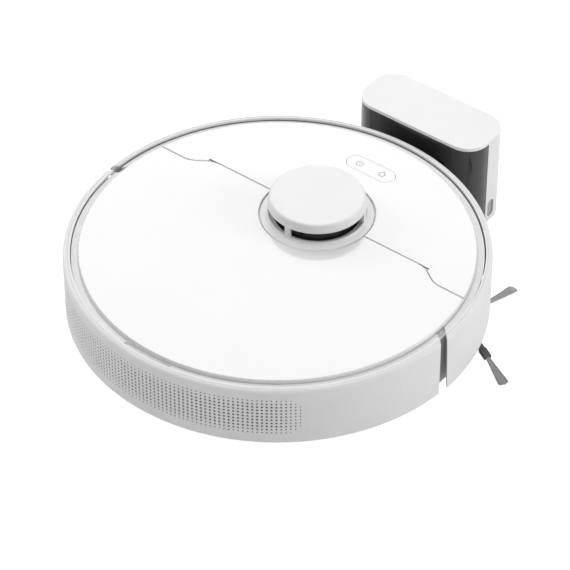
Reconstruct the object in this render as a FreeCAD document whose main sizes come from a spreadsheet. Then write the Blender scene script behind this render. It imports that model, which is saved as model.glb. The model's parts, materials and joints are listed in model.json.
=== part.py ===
"""Robot vacuum with a laser turret, a rear lid over the dust bin, and its charging dock.

Frame: origin on the floor under the middle of the round body, +Y forwards (bumper side),
+X to the robot's right (side brush), +Z up. Millimetres.
"""
import FreeCAD, Part
import math
import os
import re
import Sketcher

Vector = FreeCAD.Vector

# ---------------------------------------------------------------- driving dimensions
DIMS = {
    # round body
    "body_radius": 175.0, "wall": 2.6, "skirt_low": 24.5, "rear_low": 25.5, "lip_top": 78.8,
    "lip_thick": 2.4, "rim_round": 3.6, "rear_lip_radius": 168.8, "bumper_lip_radius": 169.3,
    "groove_radius": 171.0, "groove_wide": 0.7, "groove_deep": 0.6,
    "rear_edge": -14.6, "bumper_edge": -3.0, "bumper_lean": 2.4, "notch_slant": 0.92,
    # chassis tub and top deck
    "clearance": 10.0, "plate": 2.5, "base_radius": 157.0, "tub_radius": 166.5, "tub_wall": 2.0,
    "tub_low": 24.0, "deck_low": 74.0, "deck_top": 76.0, "deck_radius": 168.2, "notch_radius": 162.0,
    # lid and front cover
    "cover_radius": 162.5, "lid_low": 76.4, "lid_top": 79.5, "edge_round": 1.2, "seam_main": 52.6,
    "seam_side": 40.6, "jog_inner": 109.5, "jog_outer": 127.5, "jog_round": 18.0,
    "seam_gap": 0.4, "seam_round": 0.4, "lid_seam_round": 1.4,
    "hinge_y": 51.05, "pin_radius": 0.9, "pin_inner": 103.0, "pin_outer": 121.0, "hinge_relief": 2.1,
    "relief_outer": 114.4, "fit": 0.05,
    # laser turret
    "turret_y": 52.2, "turret_hole": 48.6, "ring_radius": 47.2, "cap_radius": 39.1,
    "cap_flare": 41.4, "window_low": 82.0, "window_top": 91.0, "cap_top": 98.6,
    "pillar_wide": 5.2, "cap_round": 2.2, "head_radius": 34.0, "belt_low": 67.0, "belt_high": 3.0,
    "head_pulley": 35.0, "motor_pulley": 5.0, "motor_x": 60.0, "motor_y": 38.0,
    # button plate
    "button_y": 125.5, "button_long": 47.0, "button_wide": 16.5, "button_gap": 0.4,
    "button_low": 77.0,
    # dust bin and its bay
    "bin_half": 71.5, "bin_rear": -140.0, "bin_front": -51.0, "bin_low": 29.0, "bin_high": 45.0,
    "bin_wall": 1.6, "bay_gap": 1.0, "bay_wall": 2.0, "inlet_half": 60.0, "inlet_low": 31.0,
    "inlet_high": 12.0,
    # exhaust grille
    "grille_half": 45.8, "grille_low": 33.4, "grille_top": 71.8, "grille_thick": 1.6,
    "grille_pitch": 7.4, "grille_hole": 1.9,
    # main brush
    "brush_y": -22.0, "brush_z": 22.5, "brush_left": -72.0, "brush_right": 76.0,
    "brush_core": 10.0, "brush_radius": 21.5, "brush_room": 23.5, "house_front": 2.0,
    "house_rear": -46.0, "house_top": 48.0,
    # wheels
    "wheel_x": 105.0, "wheel_y": -20.0, "wheel_radius": 33.0, "wheel_wide": 18.0,
    "hub_radius": 24.0, "axle_radius": 3.0, "arm_x": 89.0, "arm_wide": 10.0, "arm_y": -70.0,
    "arm_z": 36.0,
    # caster
    "caster_y": 112.0, "caster_trail": 7.0, "caster_radius": 11.0, "caster_wide": 14.0,
    "caster_room": 23.4, "stem_radius": 4.0,
    # side brush
    "side_x": 136.8, "side_y": 80.8, "side_reach": 68.0, "side_arm": 36.0, "side_turn": -29.0,
    "tuft_root": 3.2, "tuft_tip": 9.2,
    # fan
    "fan_x": -97.0, "fan_y": -102.0, "fan_radius": 18.5, "fan_low": 20.0, "fan_top": 50.0,
    # battery
    "battery_half": 66.0, "battery_rear": 19.0, "battery_front": 83.0, "battery_high": 22.0,
    # charging contacts
    "contact_x": 28.0, "contact_y": 146.0,
    # dock
    "dock_half": 63.7, "dock_front": 182.6, "dock_split": 206.0, "dock_back": 237.0,
    "dock_top": 90.0, "dock_cap": 3.0, "dock_round": 20.0, "dock_wall": 2.5, "dock_base": 12.0,
    "foot_top": 5.5, "foot_front": 138.5, "outlet_y": 213.3, "outlet_z": 13.3, "outlet_wide": 8.5,
    "outlet_tall": 17.5,
}
PILLAR_ANGLES = (-88.5, 19.0, 145.0)
CLIFF_ANGLES = (15.0, 62.0, 118.0, 150.0)
SCREW_ANGLES = (8.0, 172.0, 200.0, 250.0, 290.0, 340.0)
BLADES = 6
IMPELLER_BLADES = 9

doc = FreeCAD.newDocument("robot_vacuum")
sheet = doc.addObject("Spreadsheet::Sheet", "Dims")
for row, (alias, number) in enumerate(DIMS.items(), start=1):
    sheet.set(f"A{row}", alias)
    sheet.set(f"B{row}", str(number))
    sheet.setAlias(f"B{row}", alias)
working = doc.addObject("Spreadsheet::Sheet", "Working")
doc.recompute()
nodes = {}


# ---------------------------------------------------------------- helpers
def formula(text):
    """An expression with the sheet's name before each alias."""
    return re.sub(r"[a-z_]+", lambda word: f"Dims.{word[0]}" if word[0] in DIMS else word[0], str(text))


def worked_out(text):
    """The number that an expression in the sheet's aliases comes to."""
    working.set("A1", f"={formula(text)}")
    working.recompute()
    return float(working.get("A1"))


def bind(thing, **values):
    """Bind properties, and the place as x, y and z, to the sheet."""
    places = {"x": "Placement.Base.x", "y": "Placement.Base.y", "z": "Placement.Base.z"}
    for name, text in values.items():
        thing.setExpression(places.get(name, name), formula(text))
    return thing


def keep(node, thing):
    """Name a finished sub-part."""
    thing.Label = node
    nodes[node] = thing
    return thing


def box(x, y, z, wide, deep, high, turn=0.0, tilt=0.0):
    """A block centred on x and y, standing on z, turned about Z or tilted about X at that point."""
    thing = doc.addObject("Part::Box", "block")
    bind(thing, Length=wide, Width=deep, Height=high)
    if turn or tilt:
        spin = FreeCAD.Rotation(Vector(0, 0, 1), turn)
        lean = FreeCAD.Rotation(Vector(1, 0, 0), tilt)
        thing.Placement.Rotation = spin * lean
        half = (spin * lean).multVec(Vector(worked_out(wide) / 2, worked_out(deep) / 2, 0))
        bind(thing, x=f"({x}) - ({half.x})", y=f"({y}) - ({half.y})", z=f"({z}) - ({half.z})")
    else:
        bind(thing, x=f"({x}) - ({wide}) / 2", y=f"({y}) - ({deep}) / 2", z=z)
    return thing


def rod(x, y, z, radius, length, axis="Z"):
    """A cylinder that starts at x, y, z and runs along an axis."""
    thing = doc.addObject("Part::Cylinder", "rod")
    if axis == "X":
        thing.Placement.Rotation = FreeCAD.Rotation(Vector(0, 1, 0), 90)
    if axis == "Y":
        thing.Placement.Rotation = FreeCAD.Rotation(Vector(1, 0, 0), -90)
    return bind(thing, Radius=radius, Height=length, x=x, y=y, z=z)


def fuse(*parts):
    thing = doc.addObject("Part::MultiFuse", "joined")
    thing.Shapes = list(parts)
    return thing


def cut(base, *tools):
    thing = doc.addObject("Part::Cut", "cut")
    thing.Base = base
    thing.Tool = tools[0] if len(tools) == 1 else fuse(*tools)
    return thing


def common(base, tool):
    thing = doc.addObject("Part::Common", "common")
    thing.Base = base
    thing.Tool = tool
    return thing


def outline(body, plane, points):
    """A closed sketch of straight lines whose corners are bound to the sheet."""
    sketch = body.newObject("Sketcher::SketchObject", "outline")
    origin = [item for item in body.Origin.OriginFeatures if item.Role == plane][0]
    sketch.AttachmentSupport = [(origin, "")]
    sketch.MapMode = "FlatFace"
    corners = [Vector(worked_out(across), worked_out(up), 0) for across, up in points]
    count = len(corners)
    for index in range(count):
        line = Part.LineSegment(corners[index], corners[(index + 1) % count])
        sketch.addGeometry(line, False)
    for index in range(count):
        sketch.addConstraint(Sketcher.Constraint("Coincident", index, 2, (index + 1) % count, 1))
    for index, (across, up) in enumerate(points):
        for kind, text, number, axis in (("DistanceX", across, corners[index].x, -2),
                                         ("DistanceY", up, corners[index].y, -1)):
            if text == "0":
                sketch.addConstraint(Sketcher.Constraint("PointOnObject", index, 1, axis))
            else:
                rule = sketch.addConstraint(Sketcher.Constraint(kind, -1, 1, index, 1, number))
                sketch.setExpression(f"Constraints[{rule}]", formula(text))
    return sketch


def turned(points, x="0", y="0"):
    """A PartDesign body turned about the vertical line through x, y; points are (radius, height)."""
    body = doc.addObject("PartDesign::Body", "turned")
    sketch = outline(body, "XZ_Plane", points)
    feature = body.newObject("PartDesign::Revolution", "revolution")
    feature.Profile = sketch
    feature.ReferenceAxis = (sketch, ["V_Axis"])
    feature.Angle = 360
    return bind(body, x=x, y=y)


def padded(points, low, high, x="0", y="0"):
    """A PartDesign body padded up from an outline in plan."""
    body = doc.addObject("PartDesign::Body", "padded")
    sketch = outline(body, "XY_Plane", points)
    feature = body.newObject("PartDesign::Pad", "pad")
    feature.Profile = sketch
    feature.setExpression("Length", formula(high))
    return bind(body, x=x, y=y, z=low)


def rounded(body, radius, wanted):
    """Round the edges of a body that a test picks."""
    doc.recompute()
    base = body.Tip
    edges = [f"Edge{index}" for index, edge in enumerate(base.Shape.Edges, start=1) if wanted(edge)]
    feature = body.newObject("PartDesign::Fillet", "fillet")
    feature.Base = (base, edges)
    feature.setExpression("Radius", formula(radius))
    return body


def level_edge(height, low_radius=0.0):
    """A test for round edges that lie level at a height, outside a radius."""
    def wanted(edge):
        limits = edge.BoundBox
        level = abs(limits.ZMin - height) < 0.01 and abs(limits.ZMax - height) < 0.01
        return level and isinstance(edge.Curve, Part.Circle) and edge.Curve.Radius > low_radius
    return wanted


def upright_edge(x_test):
    """A test for upright edges whose place passes another test."""
    def wanted(edge):
        limits = edge.BoundBox
        upright = limits.XLength < 0.01 and limits.YLength < 0.01
        return upright and x_test(limits.XMin, limits.YMin)
    return wanted


def tube(x, y, low, outer, inner, high):
    return cut(rod(x, y, low, outer, high), rod(x, y, f"{low} - 1", inner, f"{high} + 2"))


def from_shape(shape):
    thing = doc.addObject("Part::Feature", "made")
    thing.Shape = shape
    return thing


def polar(radius, degrees):
    angle = math.radians(degrees)
    return radius * math.cos(angle), radius * math.sin(angle)


# ---------------------------------------------------------------- outer shells
def side_shell(low, lip_radius):
    """A full turn of the outer wall with its rounded rim and inward lip."""
    inner = "body_radius - wall"
    body = turned([(inner, low), ("body_radius", low), ("body_radius", "lip_top"),
                   ("groove_radius + groove_wide / 2", "lip_top"),
                   ("groove_radius", "lip_top - groove_deep"),
                   ("groove_radius - groove_wide / 2", "lip_top"),
                   (lip_radius, "lip_top"), (lip_radius, "lip_top - lip_thick"),
                   (inner, "lip_top - lip_thick")])
    return rounded(body, "rim_round", level_edge(DIMS["lip_top"], DIMS["body_radius"] - 1))


def slanted(edge, across):
    """How far forward a shell's end face lies at a distance from the middle line."""
    return f"{edge} + (body_radius - {across}) * notch_slant"


def beyond_end(edge, far, lean=0.0):
    """The room past the two slanted end faces of a shell, in front of it or behind it."""
    corners = [("-220", far), ("220", far), ("220", slanted(edge, "220")), ("150", slanted(edge, "150")),
               ("-150", slanted(edge, "150")), ("-220", slanted(edge, "220"))]
    room = padded(corners, "0", "120")
    room.Placement.Rotation = FreeCAD.Rotation(Vector(1, 0, 0), lean)
    return room


def make_bumper():
    side_cut = beyond_end("bumper_edge", "-240", DIMS["bumper_lean"])
    slot = box("0", "body_radius", "38", "56", "30", "20")
    keep("bumper_shell", cut(side_shell("skirt_low", "bumper_lip_radius"), side_cut, slot))
    window = tube("0", "0", "38.15", "body_radius - 0.3", "body_radius - 2.3", "19.7")
    keep("dock_sensor_window", common(window, box("0", "body_radius", "38", "55.6", "30", "20")))


def grille_sector(low, inner, outer, high, half):
    """A slice of a ring centred on the rear, of a half angle in degrees."""
    ring = tube("0", "0", low, outer, inner, high)
    side = 260.0
    reach = [polar(side, -90.0 - DIMS[half]), polar(side, -90.0 + DIMS[half])]
    wedge = Part.makePolygon([Vector(0, 0, 0), Vector(*reach[0], 0), Vector(0, -side * 2, 0),
                              Vector(*reach[1], 0), Vector(0, 0, 0)])
    return common(ring, from_shape(Part.Face(wedge).extrude(Vector(0, 0, 120))))


def make_rear_shell():
    foot = tube("0", "0", "rear_low", "body_radius - wall", "tub_radius + 0.3", "2")
    front = beyond_end("rear_edge", "240")
    window = grille_sector("grille_low", "body_radius - wall - 2", "body_radius + 2",
                           "grille_top - grille_low", "grille_half")
    keep("rear_side_shell", cut(fuse(side_shell("rear_low", "rear_lip_radius"), foot), front, window))


def make_grille():
    """The curved exhaust panel with a field of round holes."""
    panel = grille_sector("grille_low + 0.1", "body_radius - 0.4 - grille_thick", "body_radius - 0.4",
                          "grille_top - grille_low - 0.2", "grille_half")
    holes = []
    middle = (DIMS["grille_low"] + DIMS["grille_top"]) / 2
    step = math.degrees(DIMS["grille_pitch"] / DIMS["body_radius"])
    columns = int((DIMS["grille_half"] - 2) / step)
    for column in range(-columns, columns + 1):
        across = Vector(*polar(1.0, -90 + column * step), 0)
        for level in (-2, -1, 0, 1, 2):
            start = across * (DIMS["body_radius"] - 8) + Vector(0, 0, middle + level * 6.6)
            holes.append(Part.makeCylinder(DIMS["grille_hole"] / 2, 12, start, across))
    keep("exhaust_grille", cut(panel, from_shape(Part.makeCompound(holes))))


def seam_block(shift, rearward, low, soft):
    """A block in plan on one side of the lid's seam, its jogs rounded and its seam edge softened."""
    far = "-200" if rearward else "220"
    side, main = f"seam_side + {shift}", f"seam_main + {shift}"
    points = [("-200", far), ("200", far), ("200", side), ("jog_outer", side), ("jog_inner", main),
              ("-jog_inner", main), ("-jog_outer", side), ("-200", side)]
    block = padded(points, low, f"lid_top - {low}")
    jogs = (DIMS["jog_inner"], DIMS["jog_outer"])
    rounded(block, "jog_round", upright_edge(lambda x, y: min(abs(abs(x) - j) for j in jogs) < 1))
    thick = DIMS["lid_top"] - DIMS[low]
    heights = (0.0, thick) if rearward else (thick,)

    def along_seam(edge):
        limits = edge.BoundBox
        level = limits.ZLength < 0.01 and min(abs(limits.ZMin - height) for height in heights) < 0.01
        return level and limits.YMin > DIMS["seam_side"] - 1 and limits.YMax < DIMS["seam_main"] + 1
    return rounded(block, soft, along_seam)


def cover_disc(low):
    disc = turned([("0", low), ("cover_radius", low), ("cover_radius", "lid_top"), ("0", "lid_top")])
    return rounded(disc, "edge_round", level_edge(DIMS["lid_top"]))


def hinge_bore(radius, outer="pin_outer"):
    """Two short bores or pins on the lid's hinge line, one at each jog of the seam."""
    length = f"{outer} - pin_inner"
    height = "(lid_low + lid_top) / 2"
    sides = [rod(x, "hinge_y", height, radius, length, axis="X") for x in ("pin_inner", f"-{outer}")]
    return fuse(*sides)


def make_covers():
    turret_room = rod("0", "turret_y", "60", "turret_hole", "40")
    pill_room = pill("70", "20", "button_gap")
    front = common(cover_disc("deck_top"), seam_block("seam_gap / 2", False, "deck_top", "seam_round"))
    relief = hinge_bore("hinge_relief", "relief_outer")
    keep("front_cover", cut(front, turret_room, pill_room, relief, hinge_bore("pin_radius")))
    rear = common(cover_disc("lid_low"), seam_block("-seam_gap / 2", True, "lid_low", "lid_seam_round"))
    turret_gap = rod("0", "turret_y", "60", "turret_hole", "40")
    keep("lid_panel", cut(rear, turret_gap, hinge_bore("pin_radius + fit")))
    keep("lid_hinge_pins", hinge_bore("pin_radius"))


def pill(low, high, grow):
    """The button plate's rounded outline as a solid, grown by a gap."""
    half = f"(button_long - button_wide) / 2"
    radius = f"button_wide / 2 + {grow}"
    ends = [rod(x, "button_y", low, radius, high) for x in (half, f"-({half})")]
    return fuse(box("0", "button_y", low, f"2 * ({half})", f"2 * ({radius})", high), *ends)


def make_button():
    keep("button_plate", pill("button_low", "lid_top - button_low", "0"))


# ---------------------------------------------------------------- chassis
def make_base():
    points = [("0", "clearance"), ("base_radius", "clearance"), ("tub_radius", "tub_low"),
              ("tub_radius", "deck_low"), ("tub_radius - tub_wall", "deck_low"),
              ("tub_radius - tub_wall", "tub_low + 0.8"), ("base_radius - 1.2", "clearance + plate"),
              ("0", "clearance + plate")]
    rooms = [box("0", "brush_y", "0", "158", "46", "20"), rod("0", "caster_y", "0", "caster_room", "20"),
             rod("side_x", "side_y", "0", "axle_radius + 1", "24"),
             box("0", "(battery_rear + battery_front) / 2", "0", "2 * battery_half + 5",
                 "battery_front - battery_rear + 4", "20"),
             box("0", "-tub_radius", "34", "150", "80", "26")]
    for side in (-1, 1):
        rooms.append(box(f"{side} * 99.5", "-23", "0", "35", "78", "20"))
        rooms.append(box(f"{side} * contact_x", "contact_y", "0", "12", "8", "20"))
    for angle in CLIFF_ANGLES:
        rooms.append(rod(*polar(146.0, angle), "0", "5", "20"))
    for angle in SCREW_ANGLES:
        rooms.append(rod(*polar(140.0, angle), "0", "3.2", "20"))
    lugs = []
    for side in (-1, 1):
        for x in (81.5, 97.5):
            lug = box(f"{side * x}", "arm_y", "clearance + plate", "3.5", "12", "30")
            lugs.append(cut(lug, rod(f"{side * x} - 5", "arm_y", "arm_z", "axle_radius + fit", "10", axis="X")))
    keep("base_shell", fuse(cut(turned(points), *rooms), *lugs))


def make_underside():
    keep("battery_cover", box("0", "(battery_rear + battery_front) / 2", "clearance",
                              "2 * battery_half + 4.4", "battery_front - battery_rear + 3.4", "2.4"))
    pack = box("0", "(battery_rear + battery_front) / 2", "clearance + plate + 0.5",
               "2 * battery_half", "battery_front - battery_rear", "battery_high")
    keep("battery_pack", pack)
    frame = box("0", "brush_y", "clearance - 2.5", "168", "56", "2.5")
    keep("brush_guard", cut(frame, box("2", "brush_y", "0", "150", "40", "20")))
    pads = [box(f"{side} * contact_x", "contact_y", "clearance - 0.2", "11.4", "7.4", "2.8") for side in (-1, 1)]
    keep("charge_contacts", fuse(*pads))
    eyes = [rod(*polar(146.0, angle), "clearance", "4.8", "3") for angle in CLIFF_ANGLES]
    keep("cliff_sensors", fuse(*eyes))
    screws = []
    for angle in SCREW_ANGLES:
        x, y = polar(140.0, angle)
        screws.append(rod(x, y, "clearance + 0.3", "3", "2.2"))
        screws.append(rod(x, y, "clearance + 2.4", "1.5", "10"))
    keep("base_screws", fuse(*screws))


def make_deck():
    disc = rod("0", "0", "deck_low", "deck_radius", "deck_top - deck_low")
    bay_wide, bay_deep = "2 * (bin_half + bay_gap)", "bin_front - bin_rear + 2 * bay_gap"
    rooms = [rod("0", "turret_y", "70", "44.2", "10"), box("0", "(bin_front + bin_rear) / 2", "70",
                                                           bay_wide, bay_deep, "10")]
    for side in (-1, 1):
        notch = [(f"{side} * {across}", slanted(edge, across)) for edge, across in
                 (("rear_edge", "notch_radius"), ("rear_edge", "body_radius"),
                  ("bumper_edge - 2.2", "body_radius"), ("bumper_edge - 2.2", "notch_radius"))]
        rooms.append(padded(notch, "deck_low - 2", "deck_top - deck_low + 4"))
    rooms.append(box("0", "-(cover_radius + 2.6)", "deck_top - 1.2", "46", "5.2", "4"))
    keep("top_deck", cut(disc, *rooms))
    walls = box("0", "(bin_front + bin_rear) / 2", "bin_low - 3", f"{bay_wide} + 2 * bay_wall",
                f"{bay_deep} + 2 * bay_wall", "deck_low - bin_low + 3")
    room = box("0", "(bin_front + bin_rear) / 2", "bin_low - 1", bay_wide, bay_deep, "60")
    mouth = box("0", "bin_front", "inlet_low", "2 * inlet_half", "20", "inlet_high")
    outlet = box("-bin_half", "bin_rear + 20", "bin_low + 18", "20", "24", "14")
    keep("bin_bay", cut(walls, room, mouth, outlet))


def make_electronics():
    board = box("-6", "54", "40", "108", "56", "1.6")
    chips = [box(x, y, "41.6", wide, deep, high) for x, y, wide, deep, high in
             (("-30", "60", "14", "14", "1.4"), ("0", "44", "9", "9", "1.2"), ("24", "62", "10", "7", "1.2"),
              ("-48", "38", "8", "16", "7"), ("-48", "68", "8", "16", "7"), ("36", "40", "12", "8", "6"))]
    keep("main_board", fuse(board, *chips))
    cone = cut(rod("-104", "76", "44", "17", "12"), rod("-104", "76", "54", "14", "4"))
    keep("speaker", fuse(cone, rod("-104", "76", "40", "9", "4")))


# ---------------------------------------------------------------- turret and laser
def make_turret():
    points = [("36", "deck_top"), ("ring_radius", "deck_top"), ("ring_radius", "lid_top - 1.0"),
              ("44.6", "lid_top + 0.3"), ("cap_flare + 1.0", "window_low - 1.4"),
              ("cap_flare", "window_low"), ("40.2", "window_low"), ("38.8", "lid_top"), ("36", "lid_top")]
    keep("turret_base", turned(points, y="turret_y"))
    cap = turned([("0", "window_top + 5.4"), ("37", "window_top + 5.4"), ("38.6", "window_top"),
                  ("cap_flare - 0.3", "window_top"), ("cap_radius + 0.2", "cap_top"), ("0", "cap_top")],
                 y="turret_y")
    rounded(cap, "cap_round", level_edge(DIMS["cap_top"]))
    posts = []
    for angle in PILLAR_ANGLES:
        x, y = polar(40.2, angle)
        posts.append(box(x, f"turret_y + {y}", "window_low", "2.2", "pillar_wide",
                         "window_top - window_low + 0.6", turn=angle))
    keep("turret_cap", fuse(cap, *posts))


def make_laser():
    tray = turned([("0", "belt_low - 5"), ("46", "belt_low - 5"), ("46", "deck_low - 0.1"),
                   ("44", "deck_low - 0.1"), ("44", "belt_low - 3"), ("4", "belt_low - 3"),
                   ("4", "belt_low + 14"), ("0", "belt_low + 14")], y="turret_y")
    keep("lidar_base", cut(tray, box("48", "44", "belt_low - 1", "50", "70", "belt_high + 2.4")))
    head = turned([("4.05", "belt_low - 1"), ("head_pulley + 1.5", "belt_low - 1"),
                   ("head_pulley + 1.5", "belt_low - 0.4"), ("head_pulley", "belt_low - 0.4"),
                   ("head_pulley", "belt_low + belt_high + 0.4"), ("33", "belt_low + belt_high + 0.4"),
                   ("33", "window_low - 3"), ("head_radius", "window_low - 1"),
                   ("head_radius", "window_top + 1"), ("4.05", "window_top + 1")], y="turret_y")
    flats = [box(f"{side} * 37", "turret_y", "window_low - 2", "12", "60", "12") for side in (-1, 1)]
    ports = [rod(x, "turret_y - head_radius - 2", "85.6", "3.2", "10", axis="Y") for x in ("-11", "9")]
    keep("lidar_head", cut(head, *flats, *ports))
    grooved = tube("motor_x", "motor_y", "belt_low - 1", "motor_pulley", "1.2", "belt_high + 2")
    keep("lidar_pulley", grooved)
    motor = fuse(rod("motor_x", "motor_y", "belt_low - 24", "8", "22"),
                 rod("motor_x", "motor_y", "belt_low - 2", "1.1", "belt_high + 3"))
    keep("lidar_motor", motor)
    keep("lidar_belt", make_belt())


def make_belt():
    """The flat belt round the head's pulley and the motor's pulley."""
    loops = []
    for grow, low, high in ((1.3, 0.0, DIMS["belt_high"]), (0.3, -1.0, DIMS["belt_high"] + 2)):
        big, small = DIMS["head_pulley"] + grow, DIMS["motor_pulley"] + grow
        along = Vector(DIMS["motor_x"], DIMS["motor_y"] - DIMS["turret_y"], 0)
        reach = along.Length
        side = math.acos((big - small) / reach)
        spin = math.atan2(along.y, along.x)
        head, motor = Vector(0, DIMS["turret_y"], 0), Vector(DIMS["motor_x"], DIMS["motor_y"], 0)
        ways = [Vector(math.cos(spin + turn), math.sin(spin + turn), 0) for turn in (side, -side)]
        back = Vector(-math.cos(spin), -math.sin(spin), 0)
        edges = [Part.makeLine(head + ways[0] * big, motor + ways[0] * small),
                 Part.Arc(motor + ways[0] * small, motor - back * small, motor + ways[1] * small).toShape(),
                 Part.makeLine(motor + ways[1] * small, head + ways[1] * big),
                 Part.Arc(head + ways[1] * big, head + back * big, head + ways[0] * big).toShape()]
        face = Part.Face(Part.Wire(edges))
        face.translate(Vector(0, 0, DIMS["belt_low"] + low))
        loops.append(face.extrude(Vector(0, 0, high)))
    return from_shape(loops[0].cut(loops[1]))


# ---------------------------------------------------------------- dust bin
def make_bin():
    deep, middle = "bin_front - bin_rear", "(bin_front + bin_rear) / 2"
    outer = box("0", middle, "bin_low", "2 * bin_half", deep, "bin_high - 2.5")
    inner = box("0", middle, "bin_low + bin_wall", "2 * (bin_half - bin_wall)",
                f"{deep} - 2 * bin_wall", "bin_high")
    mouth = box("0", "bin_front", "inlet_low", "2 * inlet_half - 4", "8", "inlet_high - 1")
    outlet = box("-bin_half", "bin_rear + 20", "bin_low + 18", "8", "22", "12")
    keep("bin_body", cut(outer, inner, mouth, outlet))
    plate = box("0", middle, "bin_low + bin_high - 2.5", "2 * bin_half", deep, "2.5")
    grip = box("0", f"{middle} - 18", "bin_low + bin_high - 1.2", "40", "18", "5")
    keep("bin_cover", cut(plate, grip))
    frame = box("-bin_half + bin_wall + 5.2", "bin_rear + 20", "bin_low + 14", "10", "34", "22")
    room = box("-bin_half + bin_wall + 5.2", "bin_rear + 20", "bin_low + 16", "12", "30", "18")
    pleats = [box("-bin_half + bin_wall + 5.2", f"bin_rear + {5.8 + 2.83 * fold}", "bin_low + 16.05", "8",
                  "1.2", "17.9") for fold in range(11)]
    web = box("-bin_half + bin_wall + 5.2", "bin_rear + 20", "bin_low + 16.05", "0.8", "29.9", "17.9")
    keep("bin_filter_frame", cut(frame, room))
    keep("bin_filter", fuse(web, *pleats))


# ---------------------------------------------------------------- brushes
def make_main_brush():
    width = "brush_right - brush_left + 3.6"
    house = box("(brush_left + brush_right) / 2", "(house_front + house_rear) / 2", "clearance + plate + 0.1",
                f"{width} + 1.6", "house_front - house_rear", "house_top - clearance - plate - 0.1")
    room = rod("brush_left - 1.8", "brush_y", "brush_z", "brush_room", width, axis="X")
    below = box("(brush_left + brush_right) / 2", "brush_y", "0", width, "40", "brush_z")
    mouth = box("0", "house_rear", "inlet_low", "2 * inlet_half", "30", "inlet_high")
    shaft = rod("brush_left - 4", "brush_y", "brush_z", "axle_radius + fit", f"{width} + 8", axis="X")
    keep("brush_housing", cut(house, room, below, mouth, shaft))
    bay_front = "bin_front + bay_gap + bay_wall"
    sleeve = box("0", f"(house_rear + {bay_front}) / 2", "inlet_low - 2", "2 * inlet_half + 4",
                 f"house_rear - ({bay_front})", "inlet_high + 4")
    hole = box("0", "house_rear", "inlet_low", "2 * inlet_half", "30", "inlet_high")
    keep("inlet_seal", cut(sleeve, hole))
    core = fuse(rod("brush_left", "brush_y", "brush_z", "brush_core", "brush_right - brush_left", axis="X"),
                rod("brush_left - 2.5", "brush_y", "brush_z", "axle_radius",
                    "brush_right - brush_left + 5", axis="X"))
    keep("main_brush_core", core)
    blades = []
    for index in range(BLADES):
        blade = doc.addObject("Part::Box", "blade")
        blade.Placement.Rotation = FreeCAD.Rotation(Vector(1, 0, 0), 360.0 * index / BLADES)
        across = FreeCAD.Rotation(Vector(1, 0, 0), 360.0 * index / BLADES).multVec(Vector(0, 2.0, 0))
        bind(blade, Length="brush_right - brush_left - 4", Width="4", Height="brush_radius",
             x="brush_left + 2", y=f"brush_y - ({across.y})", z=f"brush_z - ({across.z})")
        blades.append(blade)
    hole = rod("brush_left - 5", "brush_y", "brush_z", "brush_core", "brush_right - brush_left + 10", axis="X")
    keep("main_brush_bristles", cut(fuse(*blades), hole))
    case = box("-78.4", "-7", "clearance + plate + 0.1", "7.2", "54", "47")
    keep("brush_gearbox", cut(case, rod("-83", "brush_y", "brush_z", "axle_radius + 1", "12", axis="X")))
    keep("brush_motor", fuse(rod("-74.7", "12", "50.5", "9", "44", axis="X"),
                             rod("-30.7", "12", "50.5", "3", "3", axis="X")))


def make_side_brush():
    case = fuse(box("116", "68", "17", "24", "28", "15"), box("127", "78", "25.5", "22", "12", "6.5"),
                rod("side_x", "side_y", "25.5", "5.2", "6.5"))
    keep("side_brush_gearbox", cut(case, rod("side_x", "side_y", "16", "2.5 + fit", "13.5")))
    arms = [rod("side_x", "side_y", "3.5", "8", "5.9"), rod("side_x", "side_y", "9.3", "2.5", "20")]
    fans = []
    for index in range(3):
        angle = DIMS["side_turn"] + 120.0 * index
        x, y = polar(DIMS["side_arm"] / 2, angle)
        arms.append(box(f"side_x + {x}", f"side_y + {y}", "3.6", "side_arm", "7", "3.4", turn=angle))
        fans.append(bristle_fan(angle))
    keep("side_brush_hub", fuse(*arms))
    keep("side_brush_bristles", from_shape(Part.makeCompound(fans)))


def bristle_fan(angle):
    """One tuft: a thin wedge that widens and droops from the arm's end to the floor."""
    start, reach = DIMS["side_arm"], DIMS["side_reach"]
    sections = []
    for along, half, low, high in ((start, DIMS["tuft_root"] / 2, 3.8, 6.6), (reach, DIMS["tuft_tip"] / 2, 1.2, 2.2)):
        corners = [Vector(along, -half, low), Vector(along, half, low), Vector(along, half, high),
                   Vector(along, -half, high), Vector(along, -half, low)]
        sections.append(Part.makePolygon(corners))
    fan = Part.makeLoft(sections, True, True)
    fan.rotate(Vector(0, 0, 0), Vector(0, 0, 1), angle)
    fan.translate(Vector(DIMS["side_x"], DIMS["side_y"], 0))
    return fan


# ---------------------------------------------------------------- fan
def make_fan():
    case = rod("fan_x", "fan_y", "fan_low", "fan_radius", "fan_top - fan_low")
    room = rod("fan_x", "fan_y", "fan_low + 1.6", "fan_radius - 1.6", "fan_top - fan_low - 3.2")
    outlet = box("fan_x - 6", "fan_y - fan_radius", "fan_low + 4", "16", "12", "12")
    eye = box("fan_x + fan_radius - 1", "fan_y", "fan_top - 16", "8", "20", "10")
    keep("fan_housing", cut(case, room, outlet, eye))
    wheel = [rod("fan_x", "fan_y", "fan_low + 3.2", "fan_radius - 4", "1.2"),
             rod("fan_x", "fan_y", "fan_low + 3.2", "4", "11")]
    for index in range(IMPELLER_BLADES):
        angle = 360.0 * index / IMPELLER_BLADES
        x, y = polar(8.4, angle)
        wheel.append(box(f"fan_x + {x}", f"fan_y + {y}", "fan_low + 4", "11", "1.0", "9", turn=angle + 12))
    shaft_room = rod("fan_x", "fan_y", "fan_low + 5", "1.55", "12")
    keep("fan_impeller", cut(fuse(*wheel), shaft_room))
    motor = fuse(rod("fan_x", "fan_y", "fan_low + 16", "13", "fan_top - fan_low - 17.6"),
                 rod("fan_x", "fan_y", "fan_low + 6", "1.5", "11"))
    keep("fan_motor", motor)


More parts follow.
